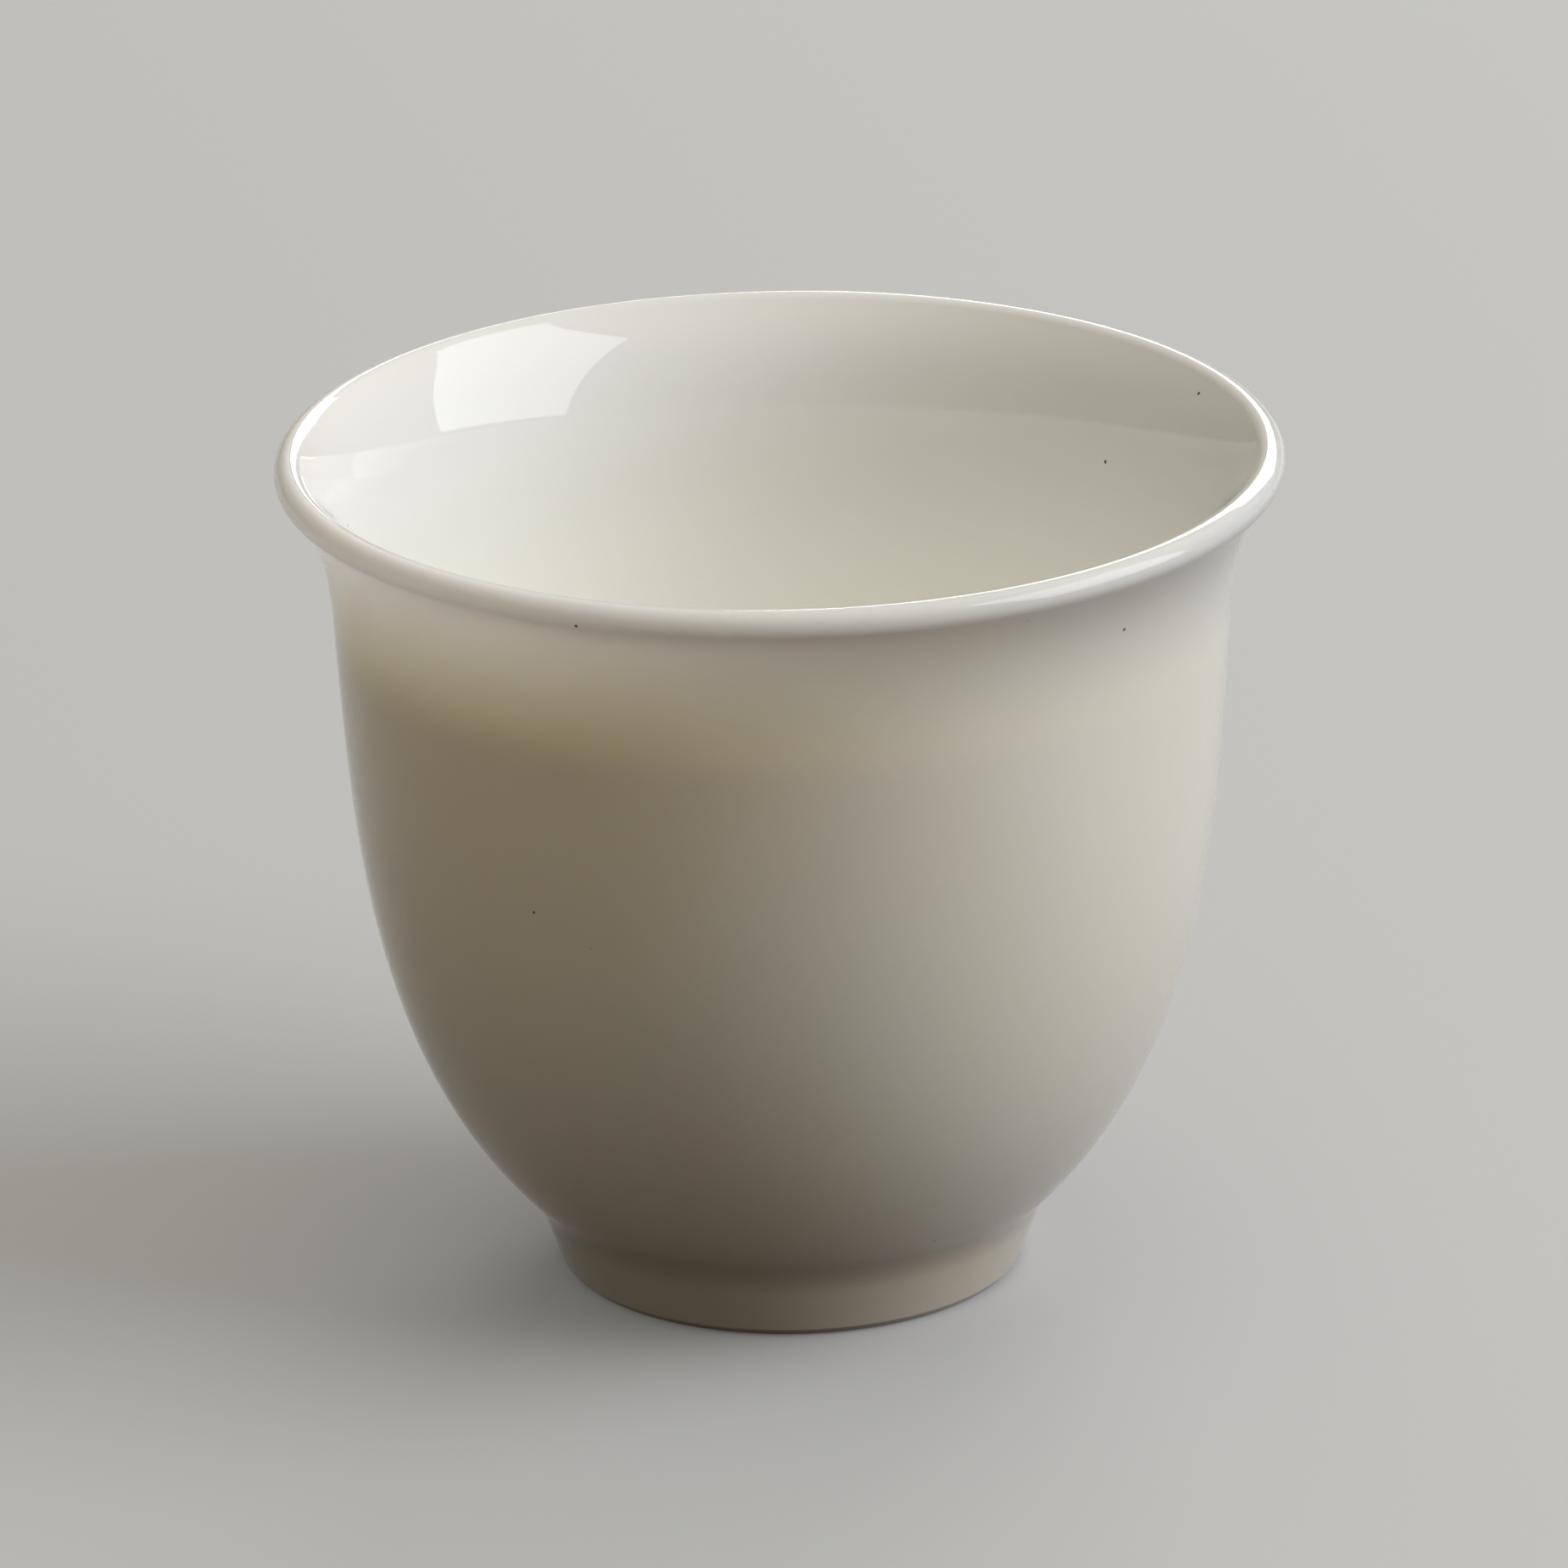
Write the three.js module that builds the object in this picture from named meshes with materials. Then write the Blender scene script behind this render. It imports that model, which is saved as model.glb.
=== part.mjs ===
// A handleless bell-shaped porcelain teacup, in millimetres, +Z up.
// The origin is the centre of the foot's resting face, and Z is the cup's axis of revolution.
// Every piece is turned about Z from a section in (radius, height).
// One master outline, the glazed outside of the cup, drives all the sections: the glaze coats and
// the porcelain wall are layers measured inwards from it.
import * as THREE from "three";

// Overall sizes
const CUP_HEIGHT = 60;
const RIM_RADIUS = 35;

// Waist, where the wall starts to flare into the rim
const WAIST_HEIGHT = 48;
const WAIST_RADIUS = 31.15;
const WAIST_LEAN_DEG = 3.3; // wall's lean from vertical
const RIM_LEAN_DEG = 42; // flare's lean where it meets the lip

// Foot
const FOOT_HEIGHT = 5.2; // resting face to the crease under the bowl
const FOOT_TOP_RADIUS = 18; // at the crease
const FOOT_BASE_RADIUS = 16.1; // outer side carried down to the resting face
const FOOT_BAND = 3; // width of the foot ring's section at the resting face
const FOOT_INNER_LEAN_DEG = 10; // recess wall's lean, wider towards the bottom
const FOOT_EDGE_ROUND = 0.25; // rounding of the bare resting edge
const BARE_MARGIN = 0.1; // strip wiped free of glaze above that rounding

// Layers
const GLAZE = 0.3;
const WALL_AT_LIP = 1.6; // porcelain alone
const WALL_AT_FOOT = 2.5; // porcelain alone
const FLOOR_THICKNESS = 2.7; // porcelain alone, on the axis
const BASE_DROP = 0.9; // how far the underside bulges below the crease, on the axis
const SLIP_THICKNESS = 0.4; // joint between the bowl and the foot ring

// Fullness of the two curves: the reach of each end's tangent, as a share of the curve's chord
const BOWL_LEAN_DEG = 46.3; // bowl's lean where it leaves the foot
const BOWL_LOWER_PULL = 0.342;
const BOWL_UPPER_PULL = 0.371;
const FLARE_LOWER_PULL = 0.613;
const FLARE_UPPER_PULL = 0.214;
const CREASE_FILL = 1.5; // reach of the glaze fillet on each side of the crease
const FLOOR_BLEND = 0.3; // share of the bowl curve, from the foot, that the floor's rounding takes

// Facets
const TURN_STEPS = 48;
const BOWL_STEPS = 10;
const FLARE_STEPS = 6;
const LIP_STEPS = 4;
const FLOOR_STEPS = 4;
const EDGE_STEPS = 3;

const radians = THREE.MathUtils.degToRad;
const lerp = THREE.MathUtils.lerp;
const at = (radius, height) => new THREE.Vector2(radius, height);
const along = (point, direction, length) => point.clone().addScaledVector(direction, length);

// Unit vector that points up and leans outwards by the given angle from vertical.
const leaning = (degrees) => at(Math.sin(radians(degrees)), Math.cos(radians(degrees)));

// Outward side of an upward direction.
const outward = (direction) => at(direction.y, -direction.x);

// Master outline: the lip is half round, as wide as the porcelain and both glaze coats.
const lipRadius = WALL_AT_LIP / 2 + GLAZE;
const lipCentre = at(RIM_RADIUS - lipRadius, CUP_HEIGHT - lipRadius);
const crease = at(FOOT_TOP_RADIUS, FOOT_HEIGHT);
const waist = at(WAIST_RADIUS, WAIST_HEIGHT);
const flareEnd = along(lipCentre, outward(leaning(RIM_LEAN_DEG)), lipRadius);

// Curve between two points that leaves each of them at its own lean.
function leaningCurve(lower, lowerLeanDeg, lowerPull, upper, upperLeanDeg, upperPull) {
  const chord = lower.distanceTo(upper);
  return new THREE.CubicBezierCurve(
    lower,
    along(lower, leaning(lowerLeanDeg), lowerPull * chord),
    along(upper, leaning(upperLeanDeg), -upperPull * chord),
    upper,
  );
}

const bowlCurve = leaningCurve(
  crease, BOWL_LEAN_DEG, BOWL_LOWER_PULL,
  waist, WAIST_LEAN_DEG, BOWL_UPPER_PULL,
);
const flareCurve = leaningCurve(
  waist, WAIST_LEAN_DEG, FLARE_LOWER_PULL,
  flareEnd, RIM_LEAN_DEG, FLARE_UPPER_PULL,
);

// Points of the wall from bowl share `start` up to the lip, each moved inwards by depth(height share),
// where the height share runs from 0 at the crease to 1 at the lip.
function wallPoints(start, depth) {
  const points = [];
  const add = (curve, share) => {
    const point = curve.getPoint(share);
    const inwards = outward(curve.getTangent(share)).negate();
    const rise = (point.y - crease.y) / (flareEnd.y - crease.y);
    points.push(along(point, inwards, depth(rise)));
  };
  for (let i = 0; i <= BOWL_STEPS; i++) add(bowlCurve, lerp(start, 1, i / BOWL_STEPS));
  for (let i = 1; i <= FLARE_STEPS; i++) add(flareCurve, i / FLARE_STEPS);
  return points;
}

// Points of the lip at a radius, from the end of the wall, which is left out, to another angle.
function lipPoints(radius, fromDeg, toDeg) {
  const points = [];
  for (let i = 1; i <= LIP_STEPS; i++) {
    const angle = radians(lerp(fromDeg, toDeg, i / LIP_STEPS));
    points.push(at(lipCentre.x + radius * Math.cos(angle), lipCentre.y + radius * Math.sin(angle)));
  }
  return points;
}

const crestDeg = 90; // the two glaze coats meet on the crest of the lip
const outerLipDeg = -RIM_LEAN_DEG;
const innerLipDeg = 180 - RIM_LEAN_DEG;

// The porcelain thins quickly above the foot, and is even in thickness by the lip.
const porcelainAt = (rise) => lerp(WALL_AT_LIP, WALL_AT_FOOT, (1 - rise) ** 2);
const innerBodyDepth = (rise) => GLAZE + porcelainAt(rise);
const innerGlazeDepth = (rise) => 2 * GLAZE + porcelainAt(rise);

// Outside of the porcelain and of its glaze, from the crease up to the crest of the lip
const bodyLipRadius = lipRadius - GLAZE;
const outerBodyWall = wallPoints(0, () => GLAZE);
const outerBody = [...outerBodyWall, ...lipPoints(bodyLipRadius, outerLipDeg, crestDeg)];
const outerGlazeWall = wallPoints(0, () => 0);
const outerGlazeLip = lipPoints(lipRadius, outerLipDeg, crestDeg);

// Floor of the inside: a rounding that leaves the wall along its tangent and reaches the axis level.
function floorPoints(wall, height) {
  const down = wall[0].clone().sub(wall[1]).normalize();
  const corner = along(wall[0], down, (wall[0].y - height) / -down.y);
  const curve = new THREE.QuadraticBezierCurve(at(0, height), corner, wall[0]);
  return curve.getPoints(FLOOR_STEPS).slice(0, -1);
}

const undersideHeight = FOOT_HEIGHT - BASE_DROP;
const floorTop = undersideHeight + FLOOR_THICKNESS;

// Inside of the porcelain and of its glaze, from the axis up to the crest of the lip
const innerBodyWall = wallPoints(FLOOR_BLEND, innerBodyDepth);
const innerBody = [
  ...floorPoints(innerBodyWall, floorTop),
  ...innerBodyWall,
  ...lipPoints(bodyLipRadius, innerLipDeg, crestDeg),
];
const innerGlazeWall = wallPoints(FLOOR_BLEND, innerGlazeDepth);
const innerGlaze = [
  ...floorPoints(innerGlazeWall, floorTop + GLAZE),
  ...innerGlazeWall,
  ...lipPoints(lipRadius, innerLipDeg, crestDeg),
];

// Foot: its outer side is a cone from the resting face to the crease, under a coat of glaze, and its
// inner side leans the other way round the recess.
const footTopHeight = FOOT_HEIGHT - SLIP_THICKNESS;
const glazeEdgeHeight = FOOT_EDGE_ROUND + BARE_MARGIN;
const fullGlazeHeight = glazeEdgeHeight + GLAZE; // where the coat has its whole thickness
const footSide = crease.clone().sub(at(FOOT_BASE_RADIUS, 0)).normalize();
const footGlazeAt = (height) => lerp(FOOT_BASE_RADIUS, FOOT_TOP_RADIUS, height / FOOT_HEIGHT);
const footBodyAt = (height) => footGlazeAt(height) - GLAZE / footSide.y;
const recessSlope = Math.tan(radians(FOOT_INNER_LEAN_DEG));
const recessAt = (height) => FOOT_BASE_RADIUS - FOOT_BAND - recessSlope * height;
const footOuterTop = at(footBodyAt(footTopHeight), footTopHeight);
const footGlazeEdge = at(footBodyAt(glazeEdgeHeight), glazeEdgeHeight);
const recessTop = at(recessAt(footTopHeight), footTopHeight);
const recessGlazeEdge = at(recessAt(glazeEdgeHeight), glazeEdgeHeight);

// Rounded corner between two points round a control corner, both ends included
function rounded(start, corner, end) {
  return new THREE.QuadraticBezierCurve(start, corner, end).getPoints(EDGE_STEPS);
}

const footOuterCorner = at(footBodyAt(0), 0);
const footInnerCorner = at(recessAt(0), 0);
const restingEdge = [
  ...rounded(
    at(recessAt(FOOT_EDGE_ROUND), FOOT_EDGE_ROUND),
    footInnerCorner,
    at(footInnerCorner.x + FOOT_EDGE_ROUND, 0),
  ),
  ...rounded(
    at(footOuterCorner.x - FOOT_EDGE_ROUND, 0),
    footOuterCorner,
    at(footBodyAt(FOOT_EDGE_ROUND), FOOT_EDGE_ROUND),
  ),
];

// Underside of the bowl inside the joint with the foot ring: a shallow bulge with level ends
const jointInner = at(recessTop.x, FOOT_HEIGHT);
function bulgePoints(edge, middleHeight) {
  const middle = at(0, middleHeight);
  const curve = new THREE.CubicBezierCurve(
    middle,
    at(edge.x / 2, middleHeight),
    at(edge.x / 2, edge.y),
    edge,
  );
  return curve.getPoints(FLOOR_STEPS);
}

// Sections, each listed so that the solid lies on the left of the line
const backwards = (points) => [...points].reverse();
const closed = (points) => [...points, points[0]];

const bowlSection = [
  ...bulgePoints(jointInner, undersideHeight),
  ...outerBody,
  ...backwards(innerBody).slice(1),
];

const slipSection = closed([recessTop, footOuterTop, outerBodyWall[0], jointInner]);

const footSection = closed([...restingEdge, footGlazeEdge, footOuterTop, recessTop, recessGlazeEdge]);

const innerGlazeSection = [...innerBody, ...backwards(innerGlaze)];

// The outer coat fills the crease with a fillet from the foot's cone to the bowl.
const filletStart = along(crease, footSide, -CREASE_FILL);
const filletEnd = along(crease, leaning(BOWL_LEAN_DEG), CREASE_FILL);
const outerGlazeFace = [
  at(footGlazeAt(fullGlazeHeight), fullGlazeHeight),
  ...rounded(filletStart, crease, filletEnd),
  ...outerGlazeWall.filter((point) => point.y > filletEnd.y),
  ...outerGlazeLip,
];
const outerGlazeSection = closed([
  footGlazeEdge,
  ...outerGlazeFace,
  ...backwards(outerBody),
  footOuterTop,
]);

// The base coat lines the recess: the underside of the bowl and the inner side of the foot ring.
const recessGlazeAt = (height) => recessAt(height) - GLAZE / Math.cos(radians(FOOT_INNER_LEAN_DEG));
const recessCorner = at(recessGlazeAt(FOOT_HEIGHT - GLAZE), FOOT_HEIGHT - GLAZE);
const baseGlazeSection = [
  ...bulgePoints(recessCorner, undersideHeight - GLAZE),
  at(recessGlazeAt(fullGlazeHeight), fullGlazeHeight),
  recessGlazeEdge,
  recessTop,
  ...backwards(bulgePoints(jointInner, undersideHeight)),
];

// Turns a section about Z into a named mesh.
function turned(name, section, material) {
  const geometry = new THREE.LatheGeometry(section, TURN_STEPS);
  geometry.rotateX(Math.PI / 2);
  const mesh = new THREE.Mesh(geometry, material);
  mesh.name = name;
  return mesh;
}

const finish = (color, roughness) =>
  new THREE.MeshStandardMaterial({ color, roughness, metalness: 0 });
const porcelain = finish("#e9e4d8", 0.6);
const slip = finish("#e3ddcf", 0.7);
const glaze = finish("#ece9df", 0.12);

const cup = new THREE.Group();
cup.add(
  turned("bowl", bowlSection, porcelain),
  turned("foot_ring", footSection, porcelain),
  turned("luting_slip", slipSection, slip),
  turned("outer_glaze", outerGlazeSection, glaze),
  turned("inner_glaze", innerGlazeSection, glaze),
  turned("base_glaze", baseGlazeSection, glaze),
);

export default cup;
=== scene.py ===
"""A handleless bell-shaped porcelain teacup on a pale floor beside a soft window light, +Z up.

Each piece is turned about Z from a section. Points and directions of a section are complex
numbers: the real part is the radius and the imaginary part the height. One master outline, the
glazed outside of the cup, drives all the sections: the glaze coats and the porcelain wall are
layers measured inwards from it.
"""

import cmath
import math

import bpy
from mathutils import Matrix, Vector


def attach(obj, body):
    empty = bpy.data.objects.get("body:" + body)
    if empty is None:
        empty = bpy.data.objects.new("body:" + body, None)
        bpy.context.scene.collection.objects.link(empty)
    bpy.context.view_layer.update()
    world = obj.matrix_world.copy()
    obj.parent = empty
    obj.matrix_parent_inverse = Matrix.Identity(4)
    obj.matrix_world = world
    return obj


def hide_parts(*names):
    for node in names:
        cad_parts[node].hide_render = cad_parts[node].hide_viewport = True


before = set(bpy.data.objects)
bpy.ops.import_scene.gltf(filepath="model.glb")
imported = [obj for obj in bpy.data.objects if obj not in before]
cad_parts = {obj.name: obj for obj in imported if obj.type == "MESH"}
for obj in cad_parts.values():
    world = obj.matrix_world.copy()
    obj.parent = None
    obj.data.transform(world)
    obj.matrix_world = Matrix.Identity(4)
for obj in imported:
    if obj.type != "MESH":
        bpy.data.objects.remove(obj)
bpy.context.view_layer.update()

MM = 0.001  # the cup's sizes are in millimetres, the scene's in metres

# Overall sizes of the cup
CUP_HEIGHT = 60
RIM_RADIUS = 35

# Waist, where the wall starts to flare into the rim
WAIST_HEIGHT = 48
WAIST_RADIUS = 31.15
WAIST_LEAN_DEG = 3.3  # wall's lean from vertical
RIM_LEAN_DEG = 42  # flare's lean where it meets the lip

# Foot
FOOT_HEIGHT = 5.2  # resting face to the crease under the bowl
FOOT_TOP_RADIUS = 18  # at the crease
FOOT_BASE_RADIUS = 16.1  # outer side carried down to the resting face
FOOT_BAND = 3  # width of the foot ring's section at the resting face
FOOT_INNER_LEAN_DEG = 10  # recess wall's lean, wider towards the bottom
FOOT_EDGE_ROUND = 0.25  # rounding of the bare resting edge
BARE_MARGIN = 0.1  # strip wiped free of glaze above that rounding

# Layers
GLAZE = 0.3
WALL_AT_LIP = 1.6  # porcelain alone
WALL_AT_FOOT = 2.5  # porcelain alone
FLOOR_THICKNESS = 2.7  # porcelain alone, on the axis
BASE_DROP = 0.9  # how far the underside bulges below the crease, on the axis
SLIP_THICKNESS = 0.4  # joint between the bowl and the foot ring

# Fullness of the two curves: the reach of each end's tangent, as a share of the curve's chord
BOWL_LEAN_DEG = 46.3  # bowl's lean where it leaves the foot
BOWL_LOWER_PULL = 0.342
BOWL_UPPER_PULL = 0.371
FLARE_LOWER_PULL = 0.613
FLARE_UPPER_PULL = 0.214
CREASE_FILL = 1.5  # reach of the glaze fillet on each side of the crease
FILLET_PULL = 2 / 3  # reach of the fillet's end tangents, as a share of CREASE_FILL
FLOOR_BLEND = 0.3  # share of the bowl curve, from the foot, that the floor's rounding takes

# Steps of the turned meshes
TURN_STEPS = 160
BOWL_STEPS = 36
FLARE_STEPS = 18
LIP_STEPS = 16
FLOOR_STEPS = 18
FILLET_STEPS = 10
EDGE_STEPS = 6
NUDGE = 1e-4  # share of a curve over which its direction is taken

# Camera at the photograph's view, in metres. The focal length is in pixels of a square image.
IMAGE_SIDE = 1849
FOCAL_PIXELS = 16870
SENSOR_WIDTH_MM = 36
CAMERA_DISTANCE = 1.0
CAMERA_ELEVATION_DEG = 20.6
CAMERA_ROLL_DEG = -0.95
ORBIT_CENTRE = Vector((0, 0, 0.03))
CAMERA_AIM = Vector((-0.00005, 0, 0.03503))

# Soft light panels that face the cup: a large window on the right and a slim panel behind. An
# azimuth is measured from straight behind the cup towards the right.
LIGHT_AIM = Vector((0, 0, 0.035))
PANEL_DISTANCE = 1.2
WINDOW_AZIMUTH_DEG = 100
WINDOW_ELEVATION_DEG = 32
WINDOW_SIZE = (0.96, 0.98)
WINDOW_WATTS = 11.4
WINDOW_COLOUR = (0.98, 1.0, 1.07)
REAR_AZIMUTH_DEG = 16
REAR_ELEVATION_DEG = 22
REAR_SIZE = (0.64, 0.36)
REAR_WATTS = 4.0
REAR_COLOUR = (1.0, 0.98, 0.95)

# Surround: a soft dome of light above, and a pale floor. The dome's ramp is in the height of a
# unit direction from the cup.
DOME_COLOUR = (0.66, 0.63, 0.54, 1)
DOME_RAMP = (0.25, 0.85)
DIM_COLOUR = (0.126, 0.107, 0.079, 1)  # below the dome
FLOOR_SIDE = 12.0
FLOOR_COLOUR = (0.50, 0.505, 0.51, 1)
FLOOR_GLOW = 0.12  # adds to the floor's paleness as the camera and reflections see it
FLOOR_BOUNCE_COLOUR = (0.065, 0.045, 0.026, 1)  # light that the floor throws back at the cup

# Glazes: heights are in metres above the resting face
OUTER_IVORY = (0.932, 0.88, 0.782, 1)
OUTER_CREAM = (0.942, 0.894, 0.806, 1)
INNER_IVORY = (0.955, 0.95, 0.895, 1)
INNER_CREAM = (0.96, 0.955, 0.905, 1)
# Painted shade: the inside turns greyer towards the lip, where most light falls
INNER_TOP_SHADE_COLOUR = (0.79, 0.79, 0.765, 1)
INNER_TOP_SHADE_RAMP = (34 * MM, 56 * MM)
# Painted shade: the lip is greyer than the wall, to tone down the light it catches
LIP_SHADE_COLOUR = (0.82, 0.81, 0.775, 1)
LIP_SHADE_RAMP = ((CUP_HEIGHT - 3.5) * MM, (CUP_HEIGHT - 0.4) * MM)
# Painted shade: the outer coat turns darker on the foot
FOOT_SHADE_COLOUR = (0.75, 0.695, 0.585, 1)
FOOT_SHADE_RAMP = (10 * MM, 3 * MM)
# Painted shade: a darker band along the crease under the bowl
CREASE_SHADE_COLOUR = (0.73, 0.675, 0.565, 1)
CREASE_SHADE_RAMP = (2.2 * MM, 0.4 * MM)  # distance above or below the crease
CREASE_SHADE_SHARE = 0.75
CLOUDS_PER_METRE = 55
CLOUD_RAMP = (0.35, 0.65)
SPECK_COLOUR = (0.09, 0.065, 0.045, 1)
SPECK_CELLS_PER_METRE = 300
SPECK_THRESHOLD = 0.8  # share of the cells that stay clean
SPECK_RAMP = (0.05, 0.03)  # a speck's soft edge, measured from the middle of its cell
NOISE_RANGE = (0.3, 0.7)  # holds nearly all values of a noise pattern
GLOSS_PATCHES_PER_METRE = 90
GLAZE_ROUGHNESS = (0.03, 0.055)
WAVES_PER_METRE = 110
WAVE_DEPTH = 0.00004
PITS_PER_METRE = 1500
PIT_DEPTH = 0.0000012
GLAZE_IOR = 1.5
GLAZE_SPECULAR_LEVEL = 0.38

# Light scatters inside the outer coat, and further towards the thin lip
SCATTER_RADIUS = (1.0, 0.935, 0.895)  # red, green and blue, as shares of the scale
SCATTER_RAMP = (45.5 * MM, CUP_HEIGHT * MM)
SCATTER_SCALE = (0.165 * MM, 1.1 * MM)

# Bare porcelain and joining slip
CLAY_DARK_COLOUR = (0.72, 0.68, 0.60, 1)
CLAY_LIGHT_COLOUR = (0.80, 0.77, 0.70, 1)
CLAY_GRAIN_PER_METRE = 9000
CLAY_GRAIN_DEPTH = 0.000012
CLAY_ROUGHNESS = (0.48, 0.66)
RUBBED_COLOUR = (0.63, 0.59, 0.52, 1)
RUBBED_RAMP = (FOOT_EDGE_ROUND * MM, 0.0)
RUBBED_PATCHES_PER_METRE = 420
RUBBED_PATCH_RAMP = (0.4, 0.65)
SLIP_DARK_COLOUR = (0.66, 0.62, 0.54, 1)
SLIP_LIGHT_COLOUR = (0.76, 0.72, 0.64, 1)
SLIP_GRAIN_PER_METRE = 5000
SLIP_GRAIN_DEPTH = 0.00002
SLIP_ROUGHNESS = (0.6, 0.75)


def lerp(start, end, share):
    return start + (end - start) * share


def leaning(degrees):
    """Unit vector that points up and leans outwards by an angle from vertical."""
    return cmath.rect(1, math.radians(90 - degrees))


def outward(direction):
    """Right-hand side of a direction of travel along a section, where the open air is."""
    return direction * -1j


def bezier(*controls):
    """Curve by share from 0 to 1, with any number of control points."""

    def point(share):
        row = list(controls)
        while len(row) > 1:
            row = [lerp(a, b, share) for a, b in zip(row, row[1:])]
        return row[0]

    return point


def arc(centre, radius, from_deg, to_deg):
    """Circular arc by share from 0 to 1."""

    def point(share):
        return centre + cmath.rect(radius, math.radians(lerp(from_deg, to_deg, share)))

    return point


def backwards(curve):
    return lambda share: curve(1 - share)


def tangent(curve, share):
    step = curve(share + NUDGE) - curve(share - NUDGE)
    return step / abs(step)


def leaning_curve(lower, lower_lean, lower_pull, upper, upper_lean, upper_pull):
    """Curve between two points that leaves each of them at its own lean."""
    chord = abs(upper - lower)
    return bezier(
        lower,
        lower + leaning(lower_lean) * lower_pull * chord,
        upper - leaning(upper_lean) * upper_pull * chord,
        upper,
    )


# Master outline: the lip is half round, as wide as the porcelain and both glaze coats.
lip_radius = WALL_AT_LIP / 2 + GLAZE
body_lip_radius = WALL_AT_LIP / 2
lip_centre = complex(RIM_RADIUS - lip_radius, CUP_HEIGHT - lip_radius)
crease = complex(FOOT_TOP_RADIUS, FOOT_HEIGHT)
waist = complex(WAIST_RADIUS, WAIST_HEIGHT)
flare_end = lip_centre + outward(leaning(RIM_LEAN_DEG)) * lip_radius
bowl_curve = leaning_curve(
    crease, BOWL_LEAN_DEG, BOWL_LOWER_PULL, waist, WAIST_LEAN_DEG, BOWL_UPPER_PULL
)
flare_curve = leaning_curve(
    waist, WAIST_LEAN_DEG, FLARE_LOWER_PULL, flare_end, RIM_LEAN_DEG, FLARE_UPPER_PULL
)
CREST_DEG = 90  # the two glaze coats meet on the crest of the lip
OUTER_LIP_DEG = -RIM_LEAN_DEG
INNER_LIP_DEG = 180 - RIM_LEAN_DEG


def porcelain_depth(rise):
    """Porcelain's thickness: it thins quickly above the foot, and is even by the lip."""
    return lerp(WALL_AT_LIP, WALL_AT_FOOT, (1 - rise) ** 2)


def layer(curve, depth, start=0):
    """An outline curve from share `start` up, moved inwards by depth(rise).

    The rise runs from 0 at the crease to 1 at the lip.
    """

    def point(share):
        place = curve(lerp(start, 1, share))
        rise = (place - crease).imag / (flare_end - crease).imag
        return place - outward(tangent(curve, lerp(start, 1, share))) * depth(rise)

    return point


def wall_up(depth, start, lip_curve):
    """Stretches of the wall from bowl share `start` up to the crest of the lip."""
    return [
        (layer(bowl_curve, depth, start), BOWL_STEPS),
        (layer(flare_curve, depth), FLARE_STEPS),
        (lip_curve, LIP_STEPS),
    ]


def turned_round(section):
    """The same stretches, travelled the other way."""
    return [(backwards(curve), steps) for curve, steps in reversed(section)]


outer_body = wall_up(
    lambda rise: GLAZE, 0, arc(lip_centre, body_lip_radius, OUTER_LIP_DEG, CREST_DEG)
)


def inside_up(depth, floor_height, lip_curve):
    """Stretches of the inside from the axis up to the crest: a rounded floor, then the wall."""
    wall = wall_up(depth, FLOOR_BLEND, lip_curve)
    wall_curve = wall[0][0]
    foot = wall_curve(0)
    down = -tangent(wall_curve, 0)
    corner = foot + down * ((foot.imag - floor_height) / -down.imag)
    return [(bezier(floor_height * 1j, corner, foot), FLOOR_STEPS), *wall]


underside_height = FOOT_HEIGHT - BASE_DROP
floor_top = underside_height + FLOOR_THICKNESS
inner_body = inside_up(
    lambda rise: GLAZE + porcelain_depth(rise),
    floor_top,
    arc(lip_centre, body_lip_radius, INNER_LIP_DEG, CREST_DEG),
)
inner_glaze = inside_up(
    lambda rise: 2 * GLAZE + porcelain_depth(rise),
    floor_top + GLAZE,
    arc(lip_centre, lip_radius, INNER_LIP_DEG, CREST_DEG),
)
crest_of_body = lip_centre + body_lip_radius * 1j
crest_of_glaze = lip_centre + lip_radius * 1j

# Foot: its outer side is a cone under a coat of glaze, and its inner side leans round the recess.
foot_top_height = FOOT_HEIGHT - SLIP_THICKNESS
glaze_edge_height = FOOT_EDGE_ROUND + BARE_MARGIN
full_glaze_height = glaze_edge_height + GLAZE  # where the coat has its whole thickness
foot_slope = crease - FOOT_BASE_RADIUS
foot_side = foot_slope / abs(foot_slope)
recess_lean = math.radians(FOOT_INNER_LEAN_DEG)


def foot_glaze_at(height):
    return complex(lerp(FOOT_BASE_RADIUS, FOOT_TOP_RADIUS, height / FOOT_HEIGHT), height)


def foot_body_at(height):
    return foot_glaze_at(height) - GLAZE / foot_side.imag


def recess_body_at(height):
    return complex(FOOT_BASE_RADIUS - FOOT_BAND - math.tan(recess_lean) * height, height)


def recess_glaze_at(height):
    return recess_body_at(height) - GLAZE / math.cos(recess_lean)


joint_inner = complex(recess_body_at(foot_top_height).real, FOOT_HEIGHT)
joint_outer = outer_body[0][0](0)


def bulge(edge, middle_height):
    """Underside of the bowl from the axis to an edge, with level ends."""
    half = edge.real / 2
    return bezier(middle_height * 1j, complex(half, middle_height), complex(half, edge.imag), edge)


def chain(*points):
    """Straight stretches from point to point."""
    return [(bezier(start, end), 1) for start, end in zip(points, points[1:])]


def bowl_section():
    return [
        (bulge(joint_inner, underside_height), FLOOR_STEPS),
        *chain(joint_inner, joint_outer),
        *outer_body,
        *turned_round(inner_body),
    ]


def slip_section():
    inner, outer = recess_body_at(foot_top_height), foot_body_at(foot_top_height)
    return chain(inner, outer, joint_outer, joint_inner, inner)


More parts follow.
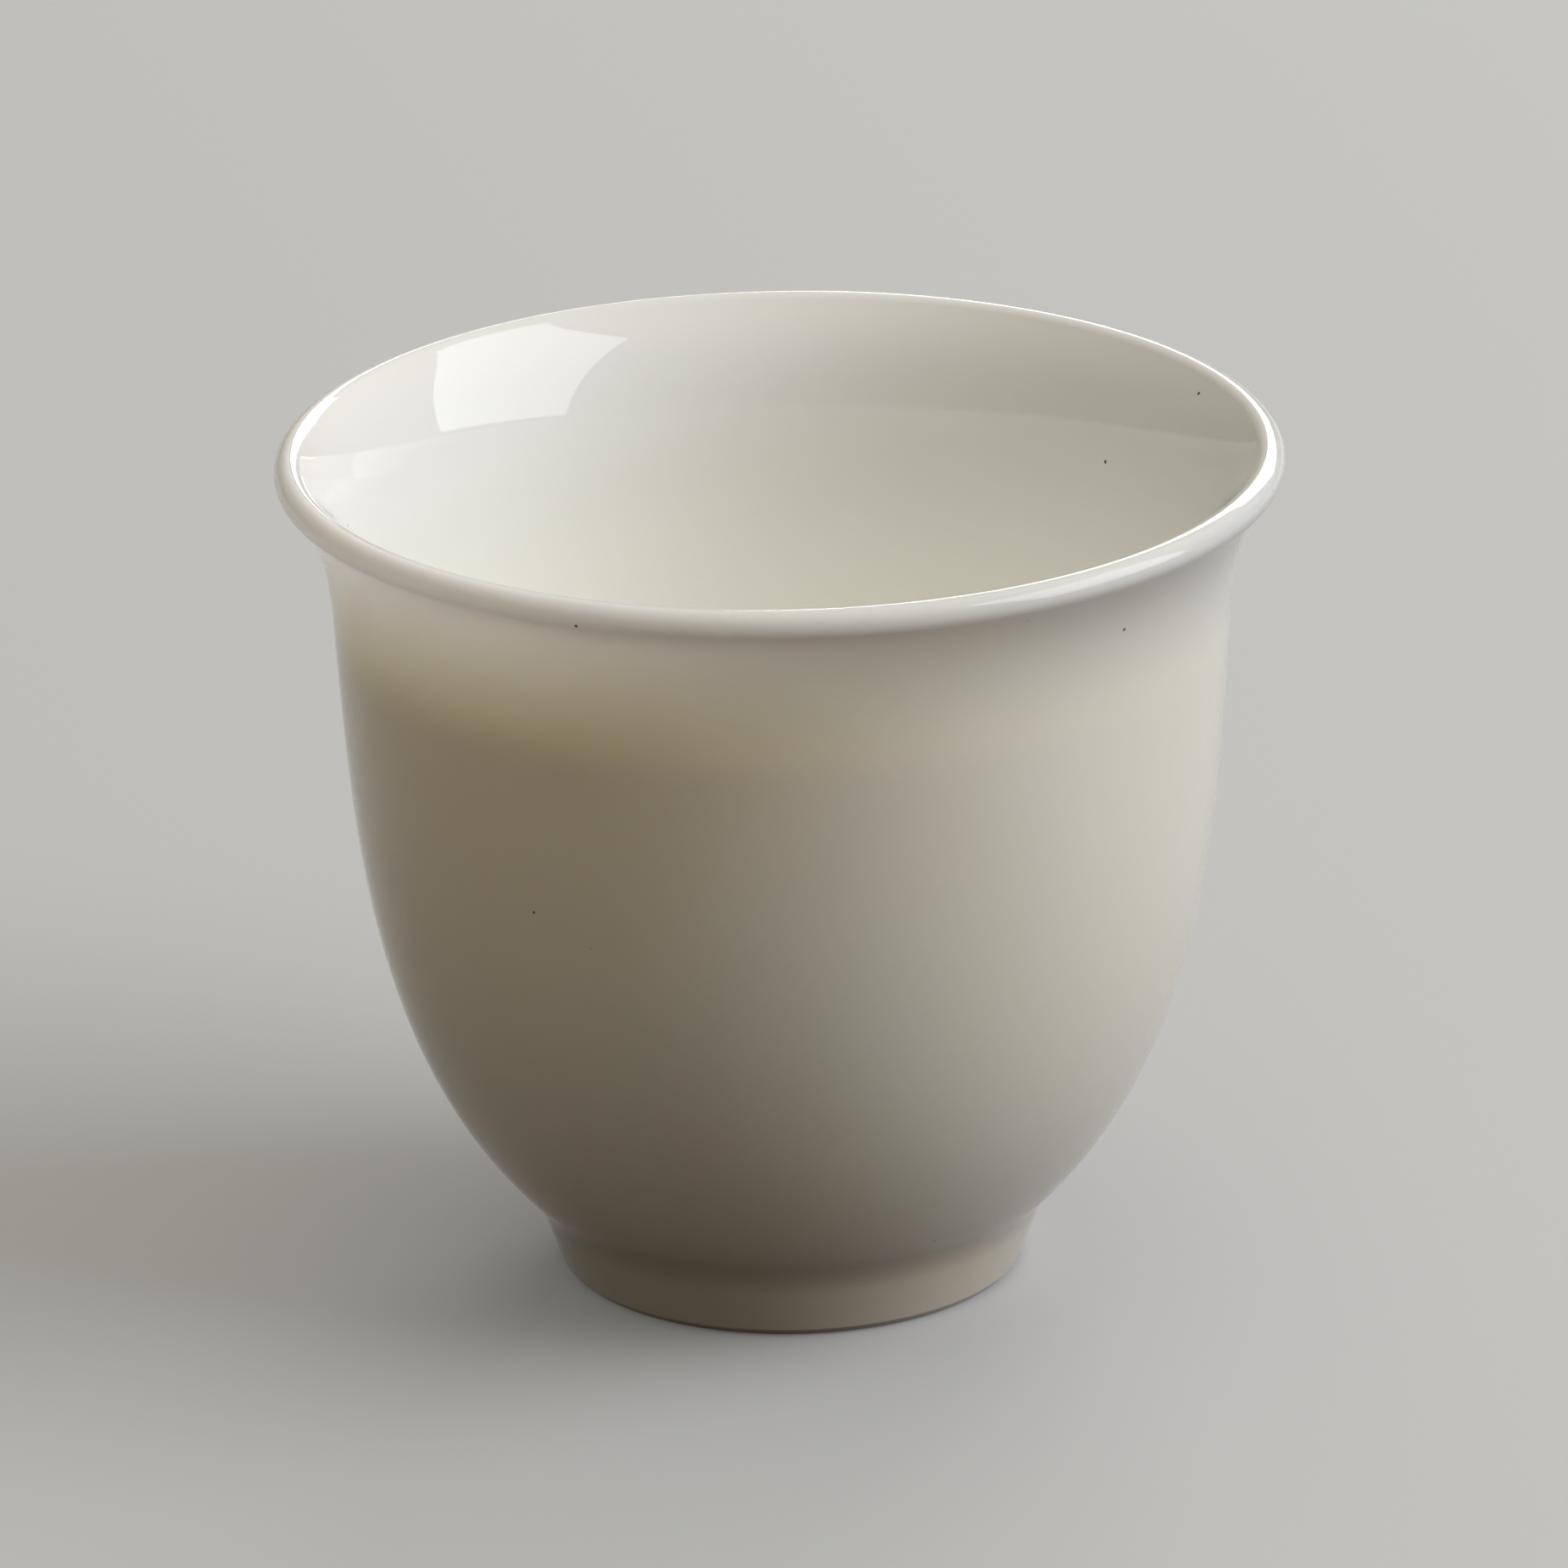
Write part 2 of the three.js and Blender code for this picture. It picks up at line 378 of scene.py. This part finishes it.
def foot_section():
    inner_edge, outer_edge = recess_body_at(0), foot_body_at(0)
    inner_start, outer_start = recess_body_at(FOOT_EDGE_ROUND), foot_body_at(FOOT_EDGE_ROUND)
    flat_start = inner_edge + FOOT_EDGE_ROUND
    flat_end = outer_edge - FOOT_EDGE_ROUND
    return [
        (bezier(inner_start, inner_edge, flat_start), EDGE_STEPS),
        *chain(flat_start, flat_end),
        (bezier(flat_end, outer_edge, outer_start), EDGE_STEPS),
        *chain(
            outer_start,
            foot_body_at(glaze_edge_height),
            foot_body_at(foot_top_height),
            recess_body_at(foot_top_height),
            recess_body_at(glaze_edge_height),
            inner_start,
        ),
    ]


def inner_glaze_section():
    return [*inner_body, *chain(crest_of_body, crest_of_glaze), *turned_round(inner_glaze)]


def outer_glaze_section():
    """The outer coat fills the crease with a fillet from the foot's cone to the bowl."""
    # Share of the bowl curve at the fillet's end, from the curve's speed at the crease
    fill_share = CREASE_FILL / abs(crease - bowl_curve(NUDGE)) * NUDGE
    fillet_start = crease - foot_side * CREASE_FILL
    fillet_end = bowl_curve(fill_share)
    handle = CREASE_FILL * FILLET_PULL
    fillet = bezier(
        fillet_start,
        fillet_start + foot_side * handle,
        fillet_end - tangent(bowl_curve, fill_share) * handle,
        fillet_end,
    )
    edge = foot_body_at(glaze_edge_height)
    edge_bead = bezier(edge, foot_glaze_at(glaze_edge_height), foot_glaze_at(full_glaze_height))
    outer_lip = arc(lip_centre, lip_radius, OUTER_LIP_DEG, CREST_DEG)
    return [
        (edge_bead, EDGE_STEPS),
        *chain(foot_glaze_at(full_glaze_height), fillet_start),
        (fillet, FILLET_STEPS),
        *wall_up(lambda rise: 0, fill_share, outer_lip),
        *chain(crest_of_glaze, crest_of_body),
        *turned_round(outer_body),
        *chain(joint_outer, foot_body_at(foot_top_height), edge),
    ]


def base_glaze_section():
    """The base coat lines the recess: the bowl's underside and the foot ring's inner side."""
    corner = recess_glaze_at(FOOT_HEIGHT - GLAZE)
    edge = recess_body_at(glaze_edge_height)
    edge_bead = bezier(recess_glaze_at(full_glaze_height), recess_glaze_at(glaze_edge_height), edge)
    return [
        (bulge(corner, underside_height - GLAZE), FLOOR_STEPS),
        *chain(corner, recess_glaze_at(full_glaze_height)),
        (edge_bead, EDGE_STEPS),
        *chain(edge, recess_body_at(foot_top_height), joint_inner),
        (backwards(bulge(joint_inner, underside_height)), FLOOR_STEPS),
    ]


def spun(vector, turn):
    """A (radius, height) vector turned about Z by a number of steps."""
    angle = math.tau * turn / TURN_STEPS
    return (vector.real * math.cos(angle), vector.real * math.sin(angle), vector.imag)


def turned(name, section, material):
    """Turns a section about Z into a mesh whose shading follows the section's own curves.

    The solid lies on the left of the section, which closes on itself or runs from axis to axis.
    """
    vertices = []

    def ring(point):
        """Indices of a new ring of vertices, or of one vertex for a point on the axis."""
        turns = 1 if point.real < NUDGE else TURN_STEPS
        vertices.extend(spun(point * MM, turn) for turn in range(turns))
        return range(len(vertices) - turns, len(vertices))

    rings = [ring(curve(step / steps)) for curve, steps in section for step in range(steps)]
    end = section[-1][0](1)
    rings.append(ring(end) if end.real < NUDGE else rings[0])

    faces, normals = [], []
    bands = [
        (curve, step / steps, (step + 1) / steps)
        for curve, steps in section
        for step in range(steps)
    ]
    for (curve, low, high), lower, upper in zip(bands, rings, rings[1:]):
        low_normal = outward(tangent(curve, low))
        high_normal = outward(tangent(curve, high))
        for turn in range(TURN_STEPS):
            corners = []
            if len(lower) > 1:
                corners.append((lower, turn, low_normal))
            corners.append((lower, turn + 1, low_normal))
            corners.append((upper, turn + 1, high_normal))
            if len(upper) > 1:
                corners.append((upper, turn, high_normal))
            faces.append([around[step % len(around)] for around, step, _ in corners])
            normals.extend(spun(normal, step) for _, step, normal in corners)

    mesh = bpy.data.meshes.new(name)
    mesh.from_pydata(vertices, [], faces)
    mesh.polygons.foreach_set("use_smooth", [True] * len(faces))
    mesh.normals_split_custom_set(normals)
    mesh.materials.append(material)
    piece = bpy.data.objects.new(name, mesh)
    bpy.context.scene.collection.objects.link(piece)
    return piece


class Nodes:
    """A material's or the world's node tree, with short ways to add and join nodes."""

    def __init__(self, owner):
        owner.use_nodes = True
        self.tree = owner.node_tree

    def add(self, kind, inputs=None, **settings):
        """New node. An input's value is a constant or another node's output."""
        node = self.tree.nodes.new("ShaderNode" + kind)
        for key, value in settings.items():
            setattr(node, key, value)
        for key, value in (inputs or {}).items():
            self.set(node, key, value)
        return node

    def set(self, node, key, value):
        if isinstance(value, bpy.types.NodeSocket):
            self.tree.links.new(value, node.inputs[key])
        else:
            node.inputs[key].default_value = value

    def mix(self, share, first, second):
        """Colour between two colours."""
        node = self.tree.nodes.new("ShaderNodeMix")
        node.data_type = "RGBA"
        # A mix node has sockets of the same name for each data type, so these go by number.
        for index, value in ((0, share), (6, first), (7, second)):
            self.set(node, index, value)
        return node.outputs[2]

    def ramp(self, value, low, high, out_low=0.0, out_high=1.0):
        """Value carried smoothly from one range into another."""
        inputs = {
            "Value": value,
            "From Min": low,
            "From Max": high,
            "To Min": out_low,
            "To Max": out_high,
        }
        return self.add("MapRange", inputs, interpolation_type="SMOOTHSTEP").outputs["Result"]

    def math(self, operation, first, second):
        return self.add("Math", {0: first, 1: second}, operation=operation).outputs[0]

    def noise(self, place, per_metre, detail=2.0):
        inputs = {"Vector": place, "Scale": per_metre, "Detail": detail}
        return self.add("TexNoise", inputs).outputs["Fac"]

    def bump(self, height, depth, normal=None):
        """Surface normal with a relief of a given depth in metres."""
        inputs = {"Height": height, "Distance": depth, "Strength": 1.0}
        if normal:
            inputs["Normal"] = normal
        return self.add("Bump", inputs).outputs["Normal"]

    def height(self, place):
        return self.add("SeparateXYZ", {"Vector": place}).outputs["Z"]


def new_finish(name):
    """New material, its nodes, its shader, and the place on the piece in metres."""
    material = bpy.data.materials.new(name)
    nodes = Nodes(material)
    shader = nodes.tree.nodes["Principled BSDF"]
    place = nodes.add("TexCoord").outputs["Object"]
    return material, nodes, shader, place


def specks(nodes, place):
    """1 on a few fine specks and 0 elsewhere. Only some of the pattern's cells have one."""
    cells = nodes.add("TexVoronoi", {"Vector": place, "Scale": SPECK_CELLS_PER_METRE}).outputs
    chance = nodes.add("SeparateColor", {"Color": cells["Color"]}).outputs[0]
    has_speck = nodes.math("GREATER_THAN", chance, SPECK_THRESHOLD)
    return nodes.math("MULTIPLY", has_speck, nodes.ramp(cells["Distance"], *SPECK_RAMP))


def glaze_material(name, ivory, cream, outside):
    """Glossy, faintly clouded glaze, greyer on the lip as painted shade.

    The coat on the outside is darker on the foot and in the crease, as painted shade, and light
    scatters inside it. The coat on the inside is greyer towards the lip, as painted shade.
    """
    material, nodes, shader, place = new_finish(name)
    height = nodes.height(place)

    clouds = nodes.ramp(nodes.noise(place, CLOUDS_PER_METRE), *CLOUD_RAMP)
    colour = nodes.mix(clouds, ivory, cream)
    if outside:
        # Painted shade: the outer coat is darker on the foot
        colour = nodes.mix(nodes.ramp(height, *FOOT_SHADE_RAMP), colour, FOOT_SHADE_COLOUR)
        # Painted shade: a darker band along the crease, fading above and below it
        above_crease = nodes.math("SUBTRACT", height, FOOT_HEIGHT * MM)
        from_crease = nodes.math("ABSOLUTE", above_crease, 0.0)
        crease_shade = nodes.ramp(from_crease, *CREASE_SHADE_RAMP, 0.0, CREASE_SHADE_SHARE)
        colour = nodes.mix(crease_shade, colour, CREASE_SHADE_COLOUR)
    else:
        # Painted shade: the inside is greyer towards the lip
        colour = nodes.mix(nodes.ramp(height, *INNER_TOP_SHADE_RAMP), colour, INNER_TOP_SHADE_COLOUR)
    # Painted shade: both coats turn greyer on the lip
    colour = nodes.mix(nodes.ramp(height, *LIP_SHADE_RAMP), colour, LIP_SHADE_COLOUR)
    colour = nodes.mix(specks(nodes, place), colour, SPECK_COLOUR)
    nodes.set(shader, "Base Color", colour)

    gloss_patches = nodes.noise(place, GLOSS_PATCHES_PER_METRE)
    nodes.set(shader, "Roughness", nodes.ramp(gloss_patches, *NOISE_RANGE, *GLAZE_ROUGHNESS))
    waves = nodes.bump(nodes.noise(place, WAVES_PER_METRE, detail=0.0), WAVE_DEPTH)
    pits = nodes.noise(place, PITS_PER_METRE, detail=1.0)
    nodes.set(shader, "Normal", nodes.bump(pits, PIT_DEPTH, waves))
    nodes.set(shader, "IOR", GLAZE_IOR)
    nodes.set(shader, "Specular IOR Level", GLAZE_SPECULAR_LEVEL)
    if outside:
        nodes.set(shader, "Subsurface Weight", 1.0)
        nodes.set(shader, "Subsurface Radius", SCATTER_RADIUS)
        nodes.set(shader, "Subsurface Scale", nodes.ramp(height, *SCATTER_RAMP, *SCATTER_SCALE))
    return material


def porcelain_material():
    """Bare fired porcelain: matt, with a fine grain, and rubbed grey where it stands."""
    material, nodes, shader, place = new_finish("bare_porcelain")
    grain = nodes.noise(place, CLAY_GRAIN_PER_METRE, detail=3.0)
    colour = nodes.mix(nodes.ramp(grain, *NOISE_RANGE), CLAY_DARK_COLOUR, CLAY_LIGHT_COLOUR)
    at_base = nodes.ramp(nodes.height(place), *RUBBED_RAMP)
    patches = nodes.ramp(nodes.noise(place, RUBBED_PATCHES_PER_METRE), *RUBBED_PATCH_RAMP)
    colour = nodes.mix(nodes.math("MULTIPLY", at_base, patches), colour, RUBBED_COLOUR)
    nodes.set(shader, "Base Color", colour)
    nodes.set(shader, "Roughness", nodes.ramp(grain, *NOISE_RANGE, *CLAY_ROUGHNESS))
    nodes.set(shader, "Normal", nodes.bump(grain, CLAY_GRAIN_DEPTH))
    return material


def slip_material():
    """Fired joining slip: the same clay, a little rougher and greyer."""
    material, nodes, shader, place = new_finish("luting_slip")
    grain = nodes.noise(place, SLIP_GRAIN_PER_METRE, detail=3.0)
    nodes.set(shader, "Base Color", nodes.mix(grain, SLIP_DARK_COLOUR, SLIP_LIGHT_COLOUR))
    nodes.set(shader, "Roughness", nodes.ramp(grain, *NOISE_RANGE, *SLIP_ROUGHNESS))
    nodes.set(shader, "Normal", nodes.bump(grain, SLIP_GRAIN_DEPTH))
    return material


def seen_directly(nodes):
    """1 for rays from the camera, reflections and refractions, 0 for light that bounces on."""
    path = nodes.add("LightPath").outputs
    shiny = nodes.math("MAXIMUM", path["Is Glossy Ray"], path["Is Transmission Ray"])
    return nodes.math("MAXIMUM", path["Is Camera Ray"], shiny)


def make_floor():
    """Pale floor that keeps the cup's shadow."""
    half = FLOOR_SIDE / 2
    corners = [(-half, -half, 0), (half, -half, 0), (half, half, 0), (-half, half, 0)]
    mesh = bpy.data.meshes.new("floor")
    mesh.from_pydata(corners, [], [(0, 1, 2, 3)])
    floor = bpy.data.objects.new("floor", mesh)
    bpy.context.scene.collection.objects.link(floor)
    material = bpy.data.materials.new("pale_floor")
    mesh.materials.append(material)
    nodes = Nodes(material)
    nodes.tree.nodes.clear()
    lit = nodes.add("BsdfDiffuse", {"Color": FLOOR_COLOUR}).outputs[0]
    glow = nodes.add("Emission", {"Color": FLOOR_COLOUR, "Strength": FLOOR_GLOW}).outputs[0]
    pale = nodes.add("AddShader", {0: lit, 1: glow}).outputs[0]
    bounce = nodes.add("BsdfDiffuse", {"Color": FLOOR_BOUNCE_COLOUR}).outputs[0]
    chosen = nodes.add("MixShader", {0: seen_directly(nodes), 1: bounce, 2: pale}).outputs[0]
    nodes.add("OutputMaterial", {"Surface": chosen})


def make_surround():
    """Soft light from above."""
    world = bpy.data.worlds.new("surround")
    bpy.context.scene.world = world
    nodes = Nodes(world)
    nodes.tree.nodes.clear()
    upward = nodes.height(nodes.add("TexCoord").outputs["Generated"])
    colour = nodes.mix(nodes.ramp(upward, *DOME_RAMP), DIM_COLOUR, DOME_COLOUR)
    light = nodes.add("Background", {"Color": colour, "Strength": 1.0}).outputs[0]
    nodes.add("OutputWorld", {"Surface": light})


def make_panel(name, azimuth_deg, elevation_deg, size, watts, colour):
    """A soft rectangular light that faces the cup and that the camera doesn't see."""
    data = bpy.data.lights.new(name, "AREA")
    data.shape = "RECTANGLE"
    data.size, data.size_y = size
    data.energy = watts
    data.color = colour
    panel = bpy.data.objects.new(name, data)
    bpy.context.scene.collection.objects.link(panel)
    azimuth = math.radians(azimuth_deg)
    elevation = math.radians(elevation_deg)
    level = math.cos(elevation)
    towards = Vector((math.sin(azimuth) * level, math.cos(azimuth) * level, math.sin(elevation)))
    panel.location = LIGHT_AIM + towards * PANEL_DISTANCE
    panel.rotation_euler = (-towards).to_track_quat("-Z", "Y").to_euler()
    panel.visible_camera = False


def make_camera():
    """Camera at the photograph's view."""
    data = bpy.data.cameras.new("camera")
    data.sensor_width = SENSOR_WIDTH_MM
    data.lens = FOCAL_PIXELS / IMAGE_SIDE * SENSOR_WIDTH_MM
    camera = bpy.data.objects.new("camera", data)
    bpy.context.scene.collection.objects.link(camera)
    elevation = math.radians(CAMERA_ELEVATION_DEG)
    away = Vector((0, -math.cos(elevation), math.sin(elevation)))
    place = ORBIT_CENTRE + away * CAMERA_DISTANCE
    facing = (CAMERA_AIM - place).to_track_quat("-Z", "Y").to_matrix().to_4x4()
    roll = Matrix.Rotation(math.radians(CAMERA_ROLL_DEG), 4, "Z")
    camera.matrix_world = Matrix.Translation(place) @ facing @ roll
    bpy.context.scene.camera = camera


outer_finish = glaze_material("ivory_glaze", OUTER_IVORY, OUTER_CREAM, outside=True)
inner_finish = glaze_material("ivory_glaze_inside", INNER_IVORY, INNER_CREAM, outside=False)
porcelain = porcelain_material()
slip = slip_material()

# Piece, the solid it stands for, its section, material and material slot
PIECES = [
    ("porcelain_bowl", "bowl", bowl_section(), porcelain, "porcelain"),
    ("porcelain_foot_ring", "foot_ring", foot_section(), porcelain, "porcelain"),
    ("luting_slip_joint", "luting_slip", slip_section(), slip, "slip"),
    ("outer_glaze_coat", "outer_glaze", outer_glaze_section(), outer_finish, "glaze"),
    ("inner_glaze_coat", "inner_glaze", inner_glaze_section(), inner_finish, "glaze"),
    ("base_glaze_coat", "base_glaze", base_glaze_section(), inner_finish, "glaze"),
]
for name, node, section, material, slot in PIECES:
    piece = turned(name, section, material)
    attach(piece, "root")
    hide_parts(node)
    # Lamp light passes through the bowl and the inner coat, so that light from inside the cup
    # reaches the outer coat from behind and the thin wall glows below the lip.
    if node in ("bowl", "inner_glaze"):
        piece.visible_shadow = False
    if node == "bowl":
        piece.visible_diffuse = False

make_floor()
make_surround()
make_panel(
    "window", WINDOW_AZIMUTH_DEG, WINDOW_ELEVATION_DEG, WINDOW_SIZE, WINDOW_WATTS, WINDOW_COLOUR
)
make_panel("rear", REAR_AZIMUTH_DEG, REAR_ELEVATION_DEG, REAR_SIZE, REAR_WATTS, REAR_COLOUR)
make_camera()
bpy.context.scene.view_settings.view_transform = "Standard"
